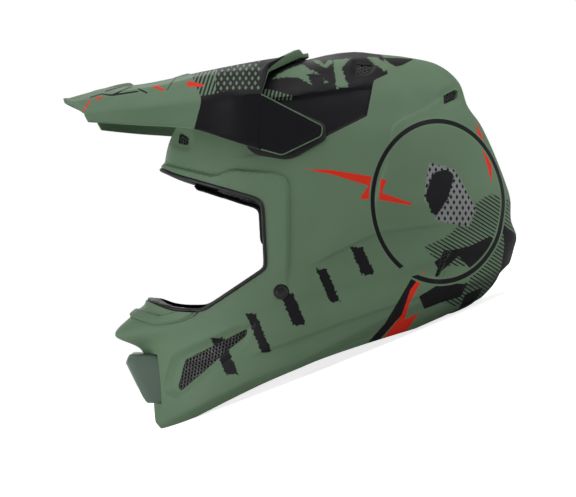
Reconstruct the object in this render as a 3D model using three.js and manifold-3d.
// A motocross helmet: an injected shell with a peak, foam liners, pads, vents and a double D-ring strap.
//
// It is drawn in the rider's frame, in millimetres: the origin is at the middle of the head, +X is the
// wearer's left, -Y is forwards and +Z is up. The whole helmet is then tipped back so that the flat
// lands of its rim lie on the ground, which is the part's own frame.
import * as THREE from "three";
import { mergeVertices } from "three/addons/utils/BufferGeometryUtils.js";
import Module from "manifold-3d";

const wasm = await Module();
wasm.setup();

// ---------------------------------------------------------------- driving dimensions (mm)

const REST_TILT = 21.7; // degrees between the rider's level and the ground the rim lies on
const GROUND_POINT = [-148, -171]; // a point (y, z) of the rim's land in the rider's frame

const HALF_WIDTH = 121; // of the shell, where it is widest
const BACK_REACH = 149.5; // from the middle of the head to the shell's rearmost point
const WALL = 4; // shell wall
const FIT_GAP = 0.5; // between the shell and what lies against it
const MESH_GAP = 0.3; // between two rigid pieces that seat on each other

const HEAD_CENTRE = [0, -4, 4]; // of the head's own room
const SIDE_FOAM = 43; // from the shell's side to the head's room, foam and pad together
const HEAD_HALF = [HALF_WIDTH - SIDE_FOAM, 98, 96]; // half breadth, length and height of that room
const COMFORT_THICK = 8; // crown pad
const CHEEK_INNER = HEAD_HALF[0] - 21; // half distance between the cheek pads
const STRAP_ROOM = 3.6; // between the shell and a cheek pad, where the strap runs
const CHIN_FOAM_THICK = 19;
const NECK_ROLL_THICK = 20;
const EYEPORT_BACK = 4; // how far the foam stands back from the eyeport's edge
const EDGE_PAD_DROP = 8; // how far the padded edge shows inside the eyeport
const EDGE_PAD_THICK = 12;

const GRILLE_THICK = 2;
const GRILLE_GAP = 0.4; // round a grille in its opening
const TRIM_THICK = 2.4; // eyeport beading

const VISOR_THICK = 2.6;
const WING_SET_IN = 1.8; // of a wing's inner face from the shell's half width
const WING_INNER_X = HALF_WIDTH - WING_SET_IN;
const PIVOT = [-40, 72]; // (y, z) of the peak's tilt axis
const PIVOT_RADIUS = 5;
const PIVOT_DEPTH = 1.8; // how far a pivot pin enters its wing
const PIVOT_HEAD = [PIVOT_RADIUS + 3, 2.5]; // radius and thickness of a pin's inner head
const BOSS_LENGTH = 13.2;
const BOSS_INNER_X = WING_INNER_X - BOSS_LENGTH; // inner end of the boss that a pin runs in
const BOSS_WALL = 4;
const BOSS_RADIUS = PIVOT_RADIUS + BOSS_WALL;
const RUN_GAP = 0.35; // round a pin that turns
const TOP_SCREW_Y = -40;
const TOP_SCREW_RADIUS = 3;
const VISOR_TRAVEL = 8; // degrees that the peak tips down from its highest setting

const WEB_WIDTH = 25; // chin strap webbing
const WEB_THICK = 2;
const STRAP_HEIGHT = 11; // of the straps' lower run, above the ground
const STRAP_INNER_X = 46; // where a strap's lower run ends or turns back
const FOLD_DROP = 4.6; // between the two runs of the folded strap
const RING_WIRE = 2.6; // side of a D-ring's bar
const RING_BORE = RING_WIRE * 0.75; // radius of the loop's hole that a square bar turns in
const RING_PITCH = 2 * RING_BORE + 0.5; // between the two bars in their loop
const RING_INNER = [WEB_WIDTH + 2, 15]; // clear width and depth of a D-ring
const LOOP_WALL = 1.2;
const RIVET = [-49.5, -55]; // (y, z) of a strap rivet
const RIVET_RADIUS = 6;
const RIVET_SHANK = 3;

// ---------------------------------------------------------------- colours

const finish = (color, roughness, metalness = 0) =>
  new THREE.MeshStandardMaterial({ color, roughness, metalness });
const GREEN = finish(0x5f7a62, 0.6);
const BLACK = finish(0x1b1a1e, 0.55);
const RUBBER = finish(0x0d0d0e, 0.8);
const FOAM = finish(0x2b2c2f, 0.9);
const FABRIC = finish(0x18181a, 0.95);
const MESH = finish(0x222326, 0.5, 0.7);
const STEEL = finish(0xb4b6b8, 0.3, 1);

// ---------------------------------------------------------------- solids

// A closed three.js geometry as a manifold-3d solid.
function solid(geometry) {
  const bare = geometry.clone();
  bare.deleteAttribute("normal");
  bare.deleteAttribute("uv");
  const merged = mergeVertices(bare, 1e-4);
  return new wasm.Manifold(
    new wasm.Mesh({
      numProp: 3,
      vertProperties: new Float32Array(merged.attributes.position.array),
      triVerts: new Uint32Array(merged.index.array),
    }),
  );
}

// The largest body of a solid, as a three.js geometry.
function geometryOf(made) {
  const bodies = made.decompose().sort((a, b) => b.volume() - a.volume());
  const mesh = bodies[0].getMesh();
  return new THREE.BufferGeometry()
    .setAttribute("position", new THREE.BufferAttribute(new Float32Array(mesh.vertProperties), 3))
    .setIndex(new THREE.BufferAttribute(new Uint32Array(mesh.triVerts), 1));
}

const SIDE_AXES = new THREE.Matrix4().makeBasis(
  new THREE.Vector3(0, 1, 0),
  new THREE.Vector3(0, 0, 1),
  new THREE.Vector3(1, 0, 0),
);
const FRONT_AXES = new THREE.Matrix4().makeBasis(
  new THREE.Vector3(1, 0, 0),
  new THREE.Vector3(0, 0, 1),
  new THREE.Vector3(0, -1, 0),
);

const shapeOf = (points) => new THREE.Shape(points.map(([a, b]) => new THREE.Vector2(a, b)));

// A side-view outline of (y, z) points, from x0 to x1.
function sidePrism(points, x0 = -300, x1 = 300) {
  const body = new THREE.ExtrudeGeometry(shapeOf(points), { depth: x1 - x0, bevelEnabled: false });
  return solid(body.translate(0, 0, x0).applyMatrix4(SIDE_AXES));
}

// A front-view shape in (x, z), from y0 to y1.
function frontPrism(shape, y0, y1) {
  const body = new THREE.ExtrudeGeometry(shape, { depth: y1 - y0, bevelEnabled: false, curveSegments: 6 });
  return solid(body.translate(0, 0, -y1).applyMatrix4(FRONT_AXES));
}

// A plan-view outline of (x, y) points, from z0 to z1.
function planPrism(points, z0, z1) {
  const body = new THREE.ExtrudeGeometry(shapeOf(points), { depth: z1 - z0, bevelEnabled: false });
  return solid(body.translate(0, 0, z0));
}

// A round bar along X.
function barX(radius, x0, x1, y, z, sides = 24) {
  const bar = new THREE.CylinderGeometry(radius, radius, Math.abs(x1 - x0), sides);
  return solid(bar.rotateZ(Math.PI / 2).translate((x0 + x1) / 2, y, z));
}

// The same solid on the wearer's right.
const mirrored = (made) => made.mirror([1, 0, 0]);

// ---------------------------------------------------------------- the shell's surface

// Rings from the rim up to the crown. Each row gives the share of the way up; the front point (y, z) and
// how far the nose stands out of it; the back point (y, z); where the ring is widest (y), its half width
// and how much its sides lift; and how square its front and back halves are (2 is an ellipse).
const RINGS = [
  [0.0, -152, -182, 0, 106, -79, -14, 97, 4, 1.9, 2.2],
  [0.07, -157, -160, 0, 131, -55, -14, 107, 6, 1.88, 2.2],
  [0.16, -161, -130, 0, 141, -36, -13, 112, 5, 1.86, 2.2],
  [0.22, -165, -106, 4, 147, -20, -12, 114, 4, 1.86, 2.15],
  [0.27, -167, -94, 24, 149.5, -10, -12, 116, 3, 1.86, 2.15],
  [0.33, -164, -77, 13, 145, 4, -12, 118, 2, 1.88, 2.1],
  [0.4, -158, -62, 3.5, 144.5, 20, -10, 120, 1, 1.95, 2.1],
  [0.52, -155, -15, 0, 140.5, 35, -6, 121, 0, 2.1, 2.1],
  [0.62, -152, 24, 0, 130, 62, -2, 120.5, 0, 2.25, 2.1],
  [0.7, -149, 51, 0, 119, 85, -2, 118, -2, 2.35, 2.15],
  [0.77, -143, 75, 0, 108, 101, -4, 112.5, -4, 2.35, 2.2],
  [0.84, -126, 101, 0, 100, 122, -6, 103, -6, 2.3, 2.25],
  [0.9, -98, 120.5, 0, 82, 136.5, -8, 87, -6, 2.25, 2.3],
  [0.95, -62, 133, 0, 56, 142.5, -6, 62, -3, 2.2, 2.2],
  [0.985, -24, 141.2, 0, 28, 145.5, 0, 28, -1, 2, 2],
];
const POLE = [0, 6, 146.6];
const RING_STEPS = 19; // columns on each side
const DRAWN = { half: 121, back: 149.5 }; // the half width and the back reach that the table is drawn at
const RING_LEVELS = [
  0, 0.07, 0.16, 0.22, 0.245, 0.27, 0.3, 0.33, 0.4, 0.47, 0.54, 0.6, 0.65, 0.7, 0.735, 0.77, 0.805, 0.84,
  0.87, 0.9, 0.925, 0.95, 0.97, 0.985,
];

// A smooth curve through a table's rows, at share v.
function between(rows, v) {
  let i = 0;
  while (i < rows.length - 2 && v > rows[i + 1][0]) i++;
  const [a, b] = [rows[i], rows[i + 1]];
  const span = b[0] - a[0];
  const t = Math.min(1, Math.max(0, (v - a[0]) / span));
  const before = rows[Math.max(0, i - 1)];
  const after = rows[Math.min(rows.length - 1, i + 2)];
  return a.map((_, k) => {
    const slopeA = i > 0 ? ((b[k] - before[k]) / (b[0] - before[0])) * span : b[k] - a[k];
    const slopeB = i < rows.length - 2 ? ((after[k] - a[k]) / (after[0] - a[0])) * span : b[k] - a[k];
    const [t2, t3] = [t * t, t * t * t];
    const [start, end] = [a[k] * (2 * t3 - 3 * t2 + 1), b[k] * (3 * t2 - 2 * t3)];
    return start + slopeA * (t3 - 2 * t2 + t) + end + slopeB * (t3 - t2);
  });
}

const NOSE_WIDTH = 0.42; // radians over which the nose fades

// The point of ring v at angle phi: 0 is the front, positive is the wearer's left.
function ringPoint(v, phi, nose = true) {
  const [, yF, zF, stand, back, zB, yM, drawnHalf, lift, squareF, squareB] = between(RINGS, v);
  const yB = (back * BACK_REACH) / DRAWN.back;
  const half = (drawnHalf * HALF_WIDTH) / DRAWN.half;
  const turn = Math.atan2(Math.sin(phi), Math.cos(phi));
  const [c, s] = [Math.cos(phi), Math.sin(phi)];
  const power = 2 / (c > 0 ? squareF : squareB);
  const along = Math.sign(c) * Math.abs(c) ** power;
  const across = Math.abs(s) ** power;
  const y = c > 0 ? yM + (yF - yM) * along : yM - (yB - yM) * along;
  const z = zF + ((zB - zF) * (y - yF)) / (yB - yF) + lift * across;
  const tip = nose ? stand * Math.exp(-((turn / NOSE_WIDTH) ** 2)) : 0;
  return new THREE.Vector3(Math.sign(s) * half * across, y - tip, z);
}

// The surface a distance inside the shell's outer one. Only the outer one has the nose.
function skinPoint(v, phi, inset) {
  const here = ringPoint(v, phi, inset === 0);
  if (inset === 0) return here;
  const e = 0.004;
  const up = ringPoint(Math.min(v + e, 0.985), phi, false).sub(ringPoint(Math.max(v - e, 0), phi, false));
  const round = ringPoint(v, phi + e, false).sub(ringPoint(v, phi - e, false));
  return here.addScaledVector(round.cross(up).normalize(), -inset);
}

// The closed solid inside that surface. It runs on below the rim, where the rim's own cut ends it.
function skinSolid(inset) {
  const columns = 2 * RING_STEPS;
  const places = [];
  const rows = [];
  const ring = (point) => {
    rows.push(places.length);
    for (let j = 0; j < columns; j++) places.push(point((2 * Math.PI * (j + 0.5)) / columns));
  };
  ring((phi) => skinPoint(0, phi, inset).add(new THREE.Vector3(0, 0, -30)));
  for (const v of RING_LEVELS) ring((phi) => skinPoint(v, phi, inset));
  const top = places.push(new THREE.Vector3(POLE[0], POLE[1], POLE[2] - inset)) - 1;
  const base = places.push(new THREE.Vector3(0, -14, -170)) - 1;
  const faces = [];
  for (let i = 0; i + 1 < rows.length; i++)
    for (let j = 0; j < columns; j++) {
      const k = (j + 1) % columns;
      const [a, b, c, d] = [rows[i] + j, rows[i] + k, rows[i + 1] + k, rows[i + 1] + j];
      faces.push(a, b, c, a, c, d);
    }
  for (let j = 0; j < columns; j++) {
    const k = (j + 1) % columns;
    faces.push(rows.at(-1) + j, rows.at(-1) + k, top, rows[0] + k, rows[0] + j, base);
  }
  const geometry = new THREE.BufferGeometry().setFromPoints(places).setIndex(faces);
  return solid(geometry);
}

// ---------------------------------------------------------------- side-view outlines (y, z)

const tilt = (REST_TILT * Math.PI) / 180;
// The height of the ground plane under y, in the rider's frame, plus some clearance from it.
const ground = (y, above = 0) =>
  GROUND_POINT[1] + Math.tan(tilt) * (y - GROUND_POINT[0]) + above / Math.cos(tilt);

const RIM_ARCH = 7; // how far the rim's middle is lifted off the ground
const CHIN_LAND = [-160, -122]; // where the rim lies on the ground in front
const REAR_LAND = [62, 112]; // and behind

// Everything under the rim, moved up by a clearance.
function underRim(above = 0) {
  const arch = [0.12, 0.3, 0.5, 0.7, 0.88].map((t) => {
    const y = CHIN_LAND[1] + (REAR_LAND[0] - CHIN_LAND[1]) * t;
    return [y, ground(y, above + RIM_ARCH * Math.sin(Math.PI * t))];
  });
  return sidePrism([
    [-400, ground(-400, above)],
    [CHIN_LAND[1], ground(CHIN_LAND[1], above)],
    ...arch,
    [REAR_LAND[0], ground(REAR_LAND[0], above)],
    [400, ground(400, above)],
    [400, -600],
    [-400, -600],
  ].reverse());
}

// The eyeport as seen from the side, from the brow round the temple to the chin bar, grown by a margin.
function eyeport(margin = 0) {
  const m = margin;
  return [
    [-300, 84 + m],
    [-149, 48 + m],
    [-136, 42 + m],
    [-68 + m * 0.3, 21.5 + m],
    [-63 + m, 16 + m * 0.6],
    [-60.5 + m, -33],
    [-62.5 + m, -38 - m * 0.6],
    [-114, -72.5 - m],
    [-138, -72 - m],
    [-158, -66 - m],
    [-300, -14 - m],
  ];
}
const CHIN_FRONT_Y = -112; // the chin bar's own foam is forward of this
const FOAM_EDGE = [[-55, 22], [-51, -24], [20, -32], [90, -40], [300, -44]]; // lower edge of the main foam
const CHEEK_OUTLINE = [
  [-54, -27], [18, -36], [24, -60], [24, -86], [-20, -107], [-70, -126], [-108, -141], [-110, -82],
  [-66, -50],
];
const ROLL_OUTLINE = [[28, -38], [92, -44.5], [300, -49], [300, -120], [28, -92]];

// ---------------------------------------------------------------- the shell and its openings

const outer = skinSolid(0);
const inside = skinSolid(WALL);
const seat = skinSolid(WALL + FIT_GAP);

// A vent is a side-view outline that is cut through one wall on both sides, and its grille fills it.
const VENTS = {
  chin_vent: {
    outline: [[-131.5, -112.5], [-78.5, -85.5], [-79, -91], [-93.5, -102.5], [-135, -138.5], [-138.5, -136]],
    x0: 40,
  },
  brow_vent: { outline: [[-135.5, 77.5], [-127.5, 72.5], [-127.5, 65.5], [-137, 68]], x0: 22 },
  crown_vent: { outline: [[12.5, 133.5], [26, 132.5], [20.5, 125], [10.5, 124]], x0: 20 },
  rear_vent: { outline: [[84, 106], [95, 112.5], [97.5, 111], [97, 105], [84, 98.5]], x0: 38 },
  neck_vent: { outline: [[83.5, -21], [90, -21.5], [78.5, -43.5], [75.5, -43]], x0: 40 },
};
const FAR = 200;

// An outline moved in by a gap, towards its middle.
function shrunk(outline, gap) {
  const count = outline.length;
  const middle = outline.reduce((m, [a, b]) => [m[0] + a / count, m[1] + b / count], [0, 0]);
  return outline.map(([a, b]) => {
    const [da, db] = [a - middle[0], b - middle[1]];
    const share = 1 - gap / Math.hypot(da, db);
    return [middle[0] + da * share, middle[1] + db * share];
  });
}
// An outline moved out from its middle by a gap.
const grown = (outline, gap) => shrunk(outline, -gap);
// An outline turned to run anticlockwise, as a prism needs it.
function ccw(outline) {
  const clockwise = THREE.ShapeUtils.isClockWise(outline.map(([x, y]) => ({ x, y })));
  return clockwise ? [...outline].reverse() : outline;
}

const MOUTH_FRONT = [[-176.4, -105.4], [-180, -116], [-180, -121], [-160, -154.7]]; // (y, z) down its front
const MOUTH_BACK_Y = -147;
const MOUTH_WALL = 3.2;
// The mouth vent's front-view outline, grown by a margin.
const mouthShape = (grow) =>
  shapeOf([
    [-31 - grow, -150 - grow], [31 + grow, -150 - grow], [37 + grow, -109 + grow], [-37 - grow, -109 + grow],
  ]);

// The separate cap on top of the chin bar, over the nose.
const CAP_REGION = [
  [-260, -92], [-181, -77], [-153.5, -84], [-132, -80.5], [-118, -74], [-118, -40], [-260, -40],
];

// A layer of the shell between two depths under its skin.
const layer = (outerInset, innerInset) => skinSolid(outerInset).subtract(skinSolid(innerInset));

function outerShell() {
  let made = outer.subtract(inside);
  for (const side of [1, -1]) {
    // room for a pivot pin's head, inside the end of its boss
    made = made.subtract(barX(PIVOT_HEAD[0] + RUN_GAP, side * 60, side * BOSS_INNER_X, ...PIVOT));
    const boss = barX(BOSS_RADIUS, side * BOSS_INNER_X, side * (WING_INNER_X - RUN_GAP), ...PIVOT);
    made = made.add(boss).subtract(barX(PIVOT_RADIUS + RUN_GAP, side * 90, side * FAR, ...PIVOT));
    made = made.subtract(barX(RIVET_RADIUS + MESH_GAP, side * 60, side * FAR, ...RIVET));
  }
  made = made.subtract(sidePrism(ccw(eyeport()))).subtract(underRim());
  for (const { outline, x0, x1 = FAR } of Object.values(VENTS)) {
    const hole = sidePrism(ccw(outline), x0, x1);
    made = made.subtract(hole).subtract(mirrored(hole));
  }
  made = made.subtract(frontPrism(mouthShape(MESH_GAP), -260, MOUTH_BACK_Y + 5));
  made = made.subtract(sidePrism(ccw(grown(CAP_REGION, MESH_GAP))));
  return made.subtract(topSlot());
}

// The top screw travels with the peak, so its hole in the shell is a slot.
const TOP_TRAVEL = (145 - PIVOT[1]) * Math.sin((VISOR_TRAVEL * Math.PI) / 180);
function topSlot(grow = RUN_GAP) {
  const reach = TOP_SCREW_RADIUS + grow;
  const [y0, y1] = [TOP_SCREW_Y - TOP_TRAVEL - reach - 1, TOP_SCREW_Y + reach + 1];
  return planPrism([[-reach, y0], [reach, y0], [reach, y1], [-reach, y1]], 100, 180);
}

// A grille follows the wall: the layer between two depths under the skin, inside the vent's outline.
const grilleLayer = layer(1.2, 1.2 + GRILLE_THICK);
function grille({ outline, x0, x1 = FAR }) {
  return grilleLayer.intersect(sidePrism(ccw(shrunk(outline, GRILLE_GAP * 2)), x0, x1));
}

// ---------------------------------------------------------------- foam and pads

// The room for the head with a layer round it, open downwards.
function headRoom(grow) {
  const [x, y, z] = HEAD_CENTRE;
  const [a, b, c] = HEAD_HALF.map((half) => half + grow);
  const dome = new THREE.SphereGeometry(1, 36, 20).rotateX(Math.PI / 2).scale(a, b, c);
  const neck = new THREE.CylinderGeometry(1, 1, 1, 36).rotateX(Math.PI / 2).scale(a, b, 200);
  return solid(dome.translate(x, y, z)).add(solid(neck.translate(x, y, z - 100)));
}

const behindEyeport = (margin) => sidePrism(ccw(eyeport(margin)));
const mainRegion = (edge) => sidePrism(ccw([[-300, 66], ...edge, [300, 300], [-300, 300]]));

function impactLiner() {
  let made = seat.intersect(mainRegion([[-149, 54], ...FOAM_EDGE])).subtract(behindEyeport(EYEPORT_BACK));
  made = made.subtract(headRoom(COMFORT_THICK + FIT_GAP));
  const nutRoom = planPrism([[-50, -90], [50, -90], [50, 0], [-50, 0]], 117, 200);
  made = made.subtract(topSlot(5).intersect(nutRoom));
  for (const side of [1, -1]) {
    made = made.subtract(barX(PIVOT_HEAD[0] + 3, side * (BOSS_INNER_X - 6), side * FAR, ...PIVOT));
  }
  return made;
}

function comfortLiner() {
  const edge = [[-132, 36], [-70, 15.5], [-64, 9], [-57, -18], [20, -27], [90, -36], [300, -40]];
  const region = sidePrism(ccw([[-300, 60], ...edge, [300, 300], [-300, 300]]));
  return headRoom(COMFORT_THICK).subtract(headRoom(0)).intersect(region);
}

// The padded edge that shows under the brow and beside the temples, inside the beading.
const EDGE_PAD = [[-126, 100], [60, 100], [60, -18], [-126, -18]];
function edgePad() {
  const band = behindEyeport(EYEPORT_BACK - MESH_GAP).subtract(behindEyeport(-EDGE_PAD_DROP));
  return layer(WALL + 1.4, WALL + EDGE_PAD_THICK).intersect(band).intersect(sidePrism(ccw(EDGE_PAD)));
}

function chinFoam() {
  const region = sidePrism(
    ccw([[-300, -60], [-160, -69], [-138, -77], [CHIN_FRONT_Y, -79], [CHIN_FRONT_Y, -250], [-300, -250]]),
  );
  return seat
    .subtract(skinSolid(WALL + FIT_GAP + CHIN_FOAM_THICK))
    .intersect(region)
    .subtract(underRim(6))
    .subtract(frontPrism(mouthShape(2), -300, MOUTH_BACK_Y + 6));
}

function cheekPad() {
  const padFront = CHIN_FRONT_Y + MESH_GAP + 1;
  const rivetRoom = barX(RIVET_RADIUS + 3, 60, FAR, ...RIVET).subtract(skinSolid(WALL + STRAP_ROOM + 3));
  return skinSolid(WALL + STRAP_ROOM)
    .subtract(rivetRoom)
    .intersect(sidePrism(ccw(CHEEK_OUTLINE), CHEEK_INNER, FAR))
    .subtract(behindEyeport(EYEPORT_BACK))
    .subtract(underRim(13))
    .subtract(sidePrism([[-300, -200], [padFront, -200], [padFront, 0], [-300, 0]]));
}

function neckRoll() {
  return seat
    .subtract(skinSolid(WALL + FIT_GAP + NECK_ROLL_THICK))
    .intersect(sidePrism(ccw(ROLL_OUTLINE)))
    .subtract(underRim(2.5));
}

// ---------------------------------------------------------------- trims and the mouth vent

// The beading lies along the eyeport's cut edge, from just outside the wall to just inside it. The part
// over the nose cap is a piece of its own.
const CHIN_CORNER = [[-300, -200], [CAP_REGION[4][0], -200], [CAP_REGION[4][0], -30], [-300, -30]];
function beading(overCap) {
  const edge = sidePrism(ccw(eyeport(-MESH_GAP))).subtract(sidePrism(ccw(eyeport(-MESH_GAP - TRIM_THICK))));
  const band = layer(-0.8, WALL + 1).intersect(edge);
  const corner = sidePrism(ccw(overCap ? CHIN_CORNER : grown(CHIN_CORNER, 1)));
  return overCap ? band.intersect(corner) : band.subtract(corner);
}

const noseCap = () =>
  outer.subtract(inside).intersect(sidePrism(ccw(CAP_REGION))).subtract(sidePrism(ccw(eyeport())));

// The hooded frame round the mouth vent, and the mesh inside it.
const hoodDepth = (depth) => [
  ...MOUTH_FRONT.map(([y, z]) => [y + depth, z]), [MOUTH_BACK_Y, -160], [MOUTH_BACK_Y, -100],
];
function mouthHood() {
  const profile = sidePrism(ccw([[-150, -104], ...hoodDepth(0)]));
  const block = profile.intersect(frontPrism(mouthShape(0), -260, 0));
  return block.subtract(frontPrism(mouthShape(-MOUTH_WALL), -300, 0)).subtract(underRim(1));
}
function mouthMesh() {
  const [front, back] = [8, 9.6].map((d) => sidePrism(ccw(hoodDepth(d))));
  const inHood = frontPrism(mouthShape(-MOUTH_WALL - MESH_GAP), -300, MOUTH_BACK_Y - 1);
  return front.subtract(back).intersect(inHood);
}

function rivet() {
  const face = barX(RIVET_RADIUS, 60, FAR, ...RIVET).intersect(layer(-0.5, 1.6));
  const strapBack = STRAP_DEPTH + WEB_THICK;
  const shank = barX(RIVET_SHANK, 60, FAR, ...RIVET).intersect(layer(0, strapBack + 1.4));
  const washer = layer(strapBack + MESH_GAP, strapBack + 1.8);
  const back = barX(RIVET_RADIUS, 60, FAR, ...RIVET).intersect(washer);
  return face.add(shank).add(back);
}

// ---------------------------------------------------------------- straps, made standing on the ground

const STRAP_DEPTH = WALL + 0.8; // under the skin
// A point of the rider's frame, as (y, z) on the ground.
const standing = ([y, z]) => [
  y * Math.cos(tilt) + z * Math.sin(tilt),
  (z - ground(y)) * Math.cos(tilt),
];
const groundLevel = GROUND_POINT[1] * Math.cos(tilt) - GROUND_POINT[0] * Math.sin(tilt);
// A box over the ground, given by its limits, in the rider's frame.
function groundBox(x0, x1, y0, y1, z0, z1) {
  const box = new THREE.BoxGeometry(x1 - x0, y1 - y0, z1 - z0);
  return solid(box.translate((x0 + x1) / 2, (y0 + y1) / 2, (z0 + z1) / 2 + groundLevel).rotateX(tilt));
}
// A bar along the ground's y, in the rider's frame.
function groundBar(radius, x, y0, y1, z) {
  const bar = new THREE.CylinderGeometry(radius, radius, y1 - y0, 16);
  return solid(bar.translate(x, (y0 + y1) / 2, z + groundLevel).rotateX(tilt));
}
const [STRAP_Y, RIVET_HEIGHT] = standing(RIVET);
const [WEB_Y0, WEB_Y1] = [STRAP_Y - WEB_WIDTH / 2, STRAP_Y + WEB_WIDTH / 2];

// The strap's run inside the shell and its run across to x1, on the wearer's left.
function strapRuns() {
  const drop = layer(STRAP_DEPTH, STRAP_DEPTH + WEB_THICK).intersect(
    groundBox(60, FAR, WEB_Y0, WEB_Y1, STRAP_HEIGHT, RIVET_HEIGHT + 11),
  );
  const across = skinSolid(STRAP_DEPTH).intersect(
    groundBox(STRAP_INNER_X, FAR, WEB_Y0, WEB_Y1, STRAP_HEIGHT, STRAP_HEIGHT + WEB_THICK),
  );
  return drop.add(across).subtract(barX(RIVET_SHANK + MESH_GAP, 60, FAR, ...RIVET));
}
const LOOP_X = STRAP_INNER_X;
const LOOP_Z = STRAP_HEIGHT + WEB_THICK / 2;
// k is 0 for the lower ring and 1 for the upper one
const ringHeight = (k) => LOOP_Z + (k - 0.5) * RING_PITCH;

function ringStrap() {
  const half = RING_BORE + LOOP_WALL;
  let made = strapRuns();
  const [low, high] = [ringHeight(0) - half, ringHeight(1) + half];
  made = made.add(groundBox(LOOP_X - half, LOOP_X + half + 3, WEB_Y0, WEB_Y1, low, high));
  for (const k of [0, 1])
    made = made.subtract(groundBar(RING_BORE, LOOP_X, WEB_Y0 - 5, WEB_Y1 + 5, ringHeight(k)));
  return made;
}

function foldedStrap() {
  const low = STRAP_HEIGHT - FOLD_DROP;
  const high = STRAP_HEIGHT + WEB_THICK;
  const turn = groundBox(STRAP_INNER_X - 1, STRAP_INNER_X + 2, WEB_Y0, WEB_Y1, low, high);
  const back = groundBox(STRAP_INNER_X, STRAP_INNER_X + 40, WEB_Y0, WEB_Y1, low, low + WEB_THICK);
  return mirrored(strapRuns().add(turn).add(back));
}

const snapButton = () => {
  const z = STRAP_HEIGHT - FOLD_DROP - MESH_GAP - 0.8 + groundLevel;
  const disc = new THREE.CylinderGeometry(6, 6, 1.6, 24).rotateX(Math.PI / 2);
  return disc.translate(-(STRAP_INNER_X + 30), STRAP_Y, z).rotateX(tilt);
};

function dRing(k) {
  const [width, depth] = RING_INNER;
  const outline = (grow) => {
    const [w, d] = [width / 2 + grow, depth + grow];
    return [
      [grow, -w], [-d * 0.45, -w], [-d * 0.85, -w * 0.72], [-d, -w * 0.35], [-d, w * 0.35],
      [-d * 0.85, w * 0.72], [-d * 0.45, w], [grow, w],
    ].reverse();
  };
  const shape = shapeOf(outline(RING_WIRE));
  shape.holes.push(shapeOf(outline(0)));
  const body = new THREE.ExtrudeGeometry(shape, { depth: RING_WIRE, bevelEnabled: false });
  const z = ringHeight(k) - RING_WIRE / 2 + groundLevel;
  return body.translate(LOOP_X - RING_WIRE / 2, STRAP_Y, z).rotateX(tilt);
}

// ---------------------------------------------------------------- the peak

// Half of the peak's inner face as rails from its tip to its tail, each from the middle outwards.
const WING_DRAWN_X = 119.2; // the wing's inner face that the rails are drawn at
const VISOR_RAILS = [
  [[0, -233.5, 103], [0, -200, 112.5], [0, -165, 116.5], [0, -115, 127], [0, -71, 135.5], [0, -26, 142.5]],
  [
    [30, -232, 102.5], [36, -200, 110.5], [39, -165, 114.5], [41, -115, 125], [41, -71, 133.8],
    [38, -34, 139.5],
  ],
  [[50, -224, 99], [62, -190, 106], [69, -150, 112], [74, -112, 120], [77, -85, 124], [77, -60, 125]],
  [
    [74, -211, 90], [88, -178, 93], [97, -140, 97], [107, -105, 101], [117, -86, 104], [119.2, -76, 104],
    [119.2, -66, 103],
  ],
  [
    [76, -207.5, 83.5], [90, -172, 80.5], [104, -125, 76.5], [110, -106, 71.5], [117, -88, 65.5],
    [119.2, -78, 62], [119.2, -68, 59],
  ],
];
const VISOR_STATIONS = 14;
const WING = [[-76, 65], [-68, 60], [-49, 54.7], [-16.7, 70.3], [-15.9, 78.9], [-66, 103], [-76, 103]];

function visorSheet() {
  const spread = WING_INNER_X / WING_DRAWN_X;
  const rails = VISOR_RAILS.map((points) => {
    const places = points.map(([x, y, z]) => new THREE.Vector3(x * spread, y, z));
    return new THREE.CatmullRomCurve3(places, false, "centripetal").getPoints(VISOR_STATIONS - 1);
  });
  const flip = (rail) => rail.map((p) => new THREE.Vector3(-p.x, p.y, p.z));
  const all = [...rails.slice(1).reverse().map(flip), ...rails];
  const normalAt = (i, j) => {
    const along = all[i][Math.min(j + 1, VISOR_STATIONS - 1)].clone().sub(all[i][Math.max(j - 1, 0)]);
    const across = all[Math.min(i + 1, all.length - 1)][j].clone().sub(all[Math.max(i - 1, 0)][j]);
    return along.cross(across).normalize();
  };
  const places = [];
  for (const depth of [0, VISOR_THICK])
    all.forEach((rail, i) =>
      rail.forEach((p, j) => places.push(p.clone().addScaledVector(normalAt(i, j), depth))),
    );
  const [n, m] = [all.length, VISOR_STATIONS];
  const at = (i, j, k) => k * n * m + i * m + j;
  const faces = [];
  const quad = (a, b, c, d) => faces.push(a, b, c, a, c, d);
  for (let i = 0; i + 1 < n; i++)
    for (let j = 0; j + 1 < m; j++) {
      quad(at(i, j, 0), at(i + 1, j, 0), at(i + 1, j + 1, 0), at(i, j + 1, 0));
      quad(at(i, j, 1), at(i, j + 1, 1), at(i + 1, j + 1, 1), at(i + 1, j, 1));
    }
  for (let i = 0; i + 1 < n; i++) {
    quad(at(i, 0, 1), at(i + 1, 0, 1), at(i + 1, 0, 0), at(i, 0, 0));
    quad(at(i, m - 1, 0), at(i + 1, m - 1, 0), at(i + 1, m - 1, 1), at(i, m - 1, 1));
  }
  for (let j = 0; j + 1 < m; j++) {
    quad(at(0, j, 0), at(0, j + 1, 0), at(0, j + 1, 1), at(0, j, 1));
    quad(at(n - 1, j, 1), at(n - 1, j + 1, 1), at(n - 1, j + 1, 0), at(n - 1, j, 0));
  }
  return solid(new THREE.BufferGeometry().setFromPoints(places).setIndex(faces));
}

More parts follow.
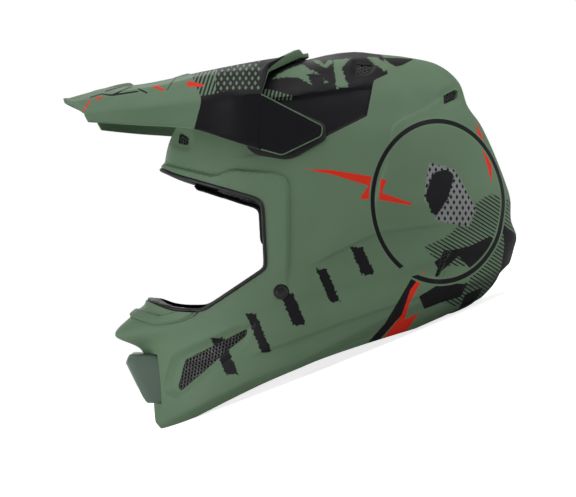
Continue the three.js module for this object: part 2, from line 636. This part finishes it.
// The peak with its wings, cleared from the shell at both ends of its travel.
function visorPeak() {
  let made = visorSheet();
  for (const side of [1, -1]) {
    const [near, far] = [WING_INNER_X, WING_INNER_X + VISOR_THICK].map((x) => side * x);
    made = made.add(sidePrism(ccw(WING), Math.min(near, far), Math.max(near, far)));
    const blindEnd = WING_INNER_X + PIVOT_DEPTH + MESH_GAP;
    made = made.subtract(barX(PIVOT_RADIUS + MESH_GAP, side * 90, side * blindEnd, ...PIVOT));
  }
  const clear = skinSolid(-1);
  const [y, z] = PIVOT;
  const turned = clear.translate([0, -y, -z]).rotate([-VISOR_TRAVEL, 0, 0]).translate([0, y, z]);
  return made.subtract(clear).subtract(turned).subtract(topScrew(MESH_GAP));
}

function pivotPin() {
  const [radius, thick] = PIVOT_HEAD;
  const head = barX(radius, BOSS_INNER_X - MESH_GAP - thick, BOSS_INNER_X - MESH_GAP, ...PIVOT);
  return head.add(barX(PIVOT_RADIUS, BOSS_INNER_X - 1, WING_INNER_X + PIVOT_DEPTH, ...PIVOT));
}

// A pan-head screw through the peak's tail and the shell's slot, with a nut under the wall.
const SCREW_HEAD = 1.6;
const TOP_SCREW_TOP = 141.7; // underside of its head
function topScrew(grow = 0) {
  const part = (radius, z0, z1) => {
    const bar = new THREE.CylinderGeometry(radius + grow, radius + grow, z1 - z0 + 2 * grow, 24);
    return solid(bar.rotateX(Math.PI / 2).translate(0, TOP_SCREW_Y, (z0 + z1) / 2));
  };
  const head = part(7, TOP_SCREW_TOP, TOP_SCREW_TOP + SCREW_HEAD);
  return head.add(part(TOP_SCREW_RADIUS, 126, TOP_SCREW_TOP + 1)).add(part(6, 125, 128));
}

// The black rubber pad between a wing and the shell.
const GASKET = [[-78, 62], [-70, 55.5], [-46, 51.5], [-38, 53.5], [-13, 68], [-14, 80], [-66, 104]];
function gasket() {
  return layer(-1.6, -MESH_GAP)
    .intersect(sidePrism(ccw(GASKET), 60, WING_INNER_X - 0.4))
    .subtract(barX(BOSS_RADIUS + 0.6, 60, FAR, ...PIVOT));
}

// ---------------------------------------------------------------- the assembly

const helmet = new THREE.Group();
function add(name, made, material) {
  const geometry = made.isBufferGeometry ? made : geometryOf(made);
  geometry.rotateX(-tilt);
  const mesh = new THREE.Mesh(geometry, material);
  mesh.name = name;
  helmet.add(mesh);
}
function addPair(name, made, material) {
  add(name + "_left", made, material);
  add(name + "_right", mirrored(made), material);
}

add("outer_shell", outerShell(), GREEN);
add("visor_peak", visorPeak(), GREEN);
add("visor_top_screw", topScrew(), BLACK);
addPair("visor_pivot_pin", pivotPin(), BLACK);
addPair("visor_gasket", gasket(), RUBBER);
add("eyeport_trim", beading(false), RUBBER);
add("nose_guard", noseCap(), GREEN);
add("nose_guard_rubber", beading(true), RUBBER);
add("mouth_vent_hood", mouthHood(), GREEN);
add("mouth_vent_mesh", mouthMesh(), MESH);
for (const [name, vent] of Object.entries(VENTS)) addPair(name + "_grille", grille(vent), MESH);
add("impact_liner", impactLiner(), FOAM);
add("comfort_liner", comfortLiner(), FABRIC);
add("eyeport_pad", edgePad(), FABRIC);
add("chin_foam", chinFoam(), FOAM);
add("neck_roll", neckRoll(), FABRIC);
addPair("cheek_pad", cheekPad(), FABRIC);
addPair("strap_rivet", rivet(), BLACK);
add("ring_strap", ringStrap(), FABRIC);
add("folded_strap", foldedStrap(), FABRIC);
add("snap_button", snapButton(), BLACK);
add("lower_d_ring", dRing(0), STEEL);
add("upper_d_ring", dRing(1), STEEL);

// The part's origin is under the middle of its length and breadth, on the ground.
const box = new THREE.Box3().setFromObject(helmet);
const shift = [0, -(box.min.y + box.max.y) / 2, -box.min.z];
for (const mesh of helmet.children) mesh.geometry.translate(...shift);

export default helmet;
